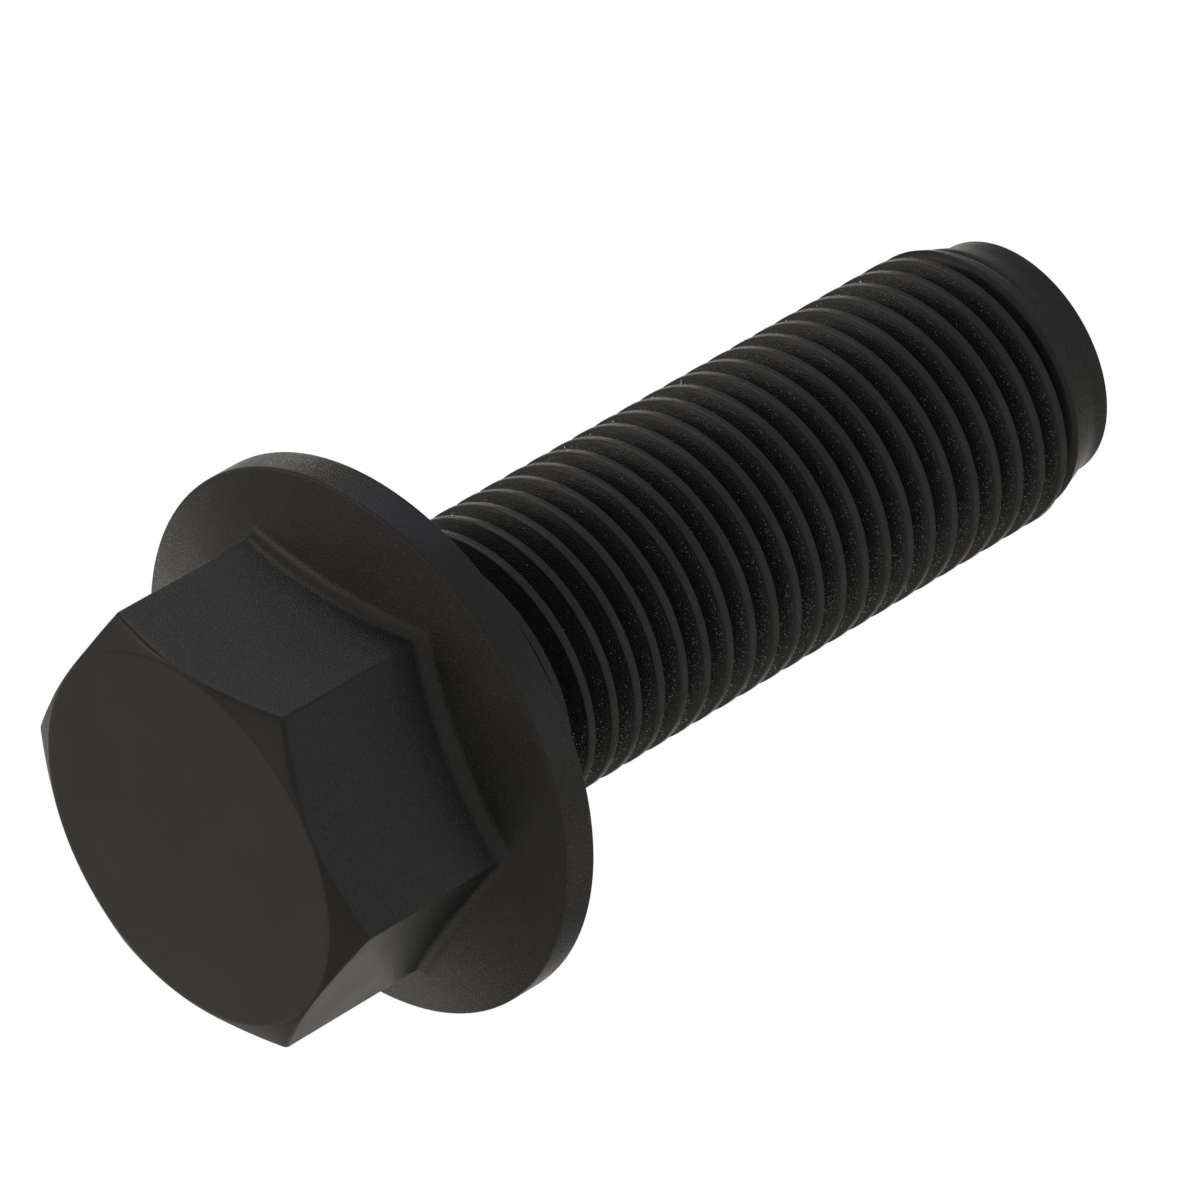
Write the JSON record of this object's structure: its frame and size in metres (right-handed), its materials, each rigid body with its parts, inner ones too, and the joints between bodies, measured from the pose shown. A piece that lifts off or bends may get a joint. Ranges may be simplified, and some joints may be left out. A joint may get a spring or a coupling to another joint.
{
  "type": "flange bolt",
  "caption": "Hexagon head bolt with a cone-topped flange under the head and a fine thread up to its tapered tip.",
  "frame": {"origin": "centre of the flange's bearing face", "axes": "+Z along the shank, from the bearing face to the tip; the head hangs below, and a corner of its hexagon points along +X"},
  "size_m": [0.023, 0.023, 0.0452],
  "materials": {
    "black_oxide_steel": "forged steel with a black oxide coating, satin"
  },
  "bodies": {
    "root": {"flange_bolt": "black_oxide_steel"}
  },
  "joints": []
}
